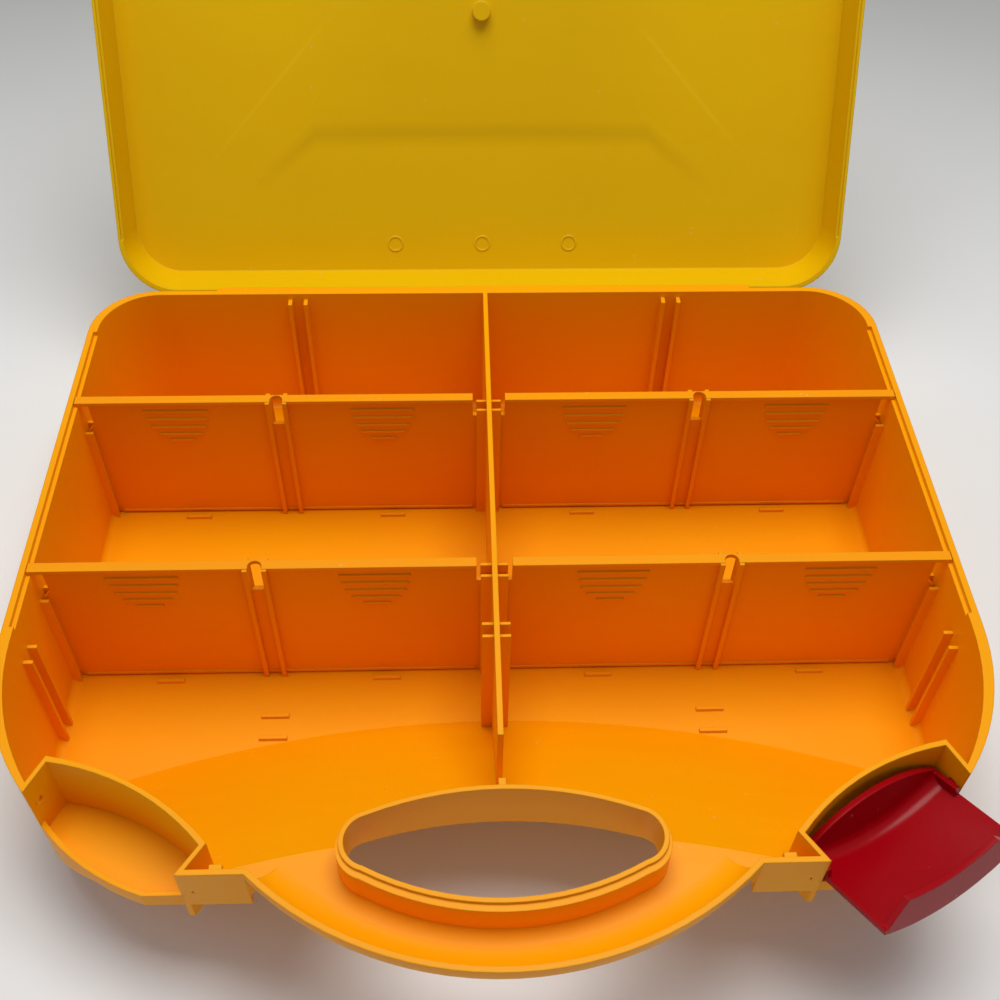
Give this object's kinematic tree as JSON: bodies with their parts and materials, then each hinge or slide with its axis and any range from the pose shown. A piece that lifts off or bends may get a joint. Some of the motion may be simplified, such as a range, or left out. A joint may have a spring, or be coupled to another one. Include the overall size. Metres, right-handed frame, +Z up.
{
  "type": "hinged compartment carry case",
  "caption": "Moulded plastic tackle case with a built-in carrying handle, hinged lid, lift-out cross dividers and a swinging corner latch.",
  "frame": {"origin": "on the table under the tray's flat underside, on the centre plane, at the point level with the middle of the main storage area", "axes": "+X to the right seen from the handle, +Y from the handle towards the hinge, +Z up"},
  "size_m": [0.35, 0.4981, 0.3228],
  "materials": {
    "orange_plastic": "gloss moulded",
    "yellow_plastic": "gloss moulded",
    "red_plastic": "worn gloss",
    "steel_wire": "drawn wire"
  },
  "bodies": {
    "tray": {"base_tray": "orange_plastic", "hinge_rod": "steel_wire"},
    "lid": {"lid": "yellow_plastic"},
    "latch": {"latch_right": "red_plastic"},
    "rear_left": {"divider_rear_left": "orange_plastic"},
    "rear_right": {"divider_rear_right": "orange_plastic"},
    "front_left": {"divider_front_left": "orange_plastic"},
    "front_right": {"divider_front_right": "orange_plastic"}
  },
  "joints": [
    {"name": "lid_hinge", "type": "hinge", "parent": "tray", "child": "lid", "pos_m": [0, 0.1455, 0.051], "axis": [-1, 0, 0], "range_deg": [-117, 0]},
    {"name": "latch_pivot", "type": "hinge", "parent": "tray", "child": "latch", "pos_m": [0.12562, -0.12218, 0.06], "axis": [0.8704, 0.4924, 0], "range_deg": [-72, 0]},
    {"name": "rear_left_lift", "type": "slide", "parent": "tray", "child": "rear_left", "axis": [0, 0, 1], "range_m": [0, 0.08]},
    {"name": "rear_right_lift", "type": "slide", "parent": "tray", "child": "rear_right", "axis": [0, 0, 1], "range_m": [0, 0.08]},
    {"name": "front_left_lift", "type": "slide", "parent": "tray", "child": "front_left", "axis": [0, 0, 1], "range_m": [0, 0.08]},
    {"name": "front_right_lift", "type": "slide", "parent": "tray", "child": "front_right", "axis": [0, 0, 1], "range_m": [0, 0.08]}
  ]
}
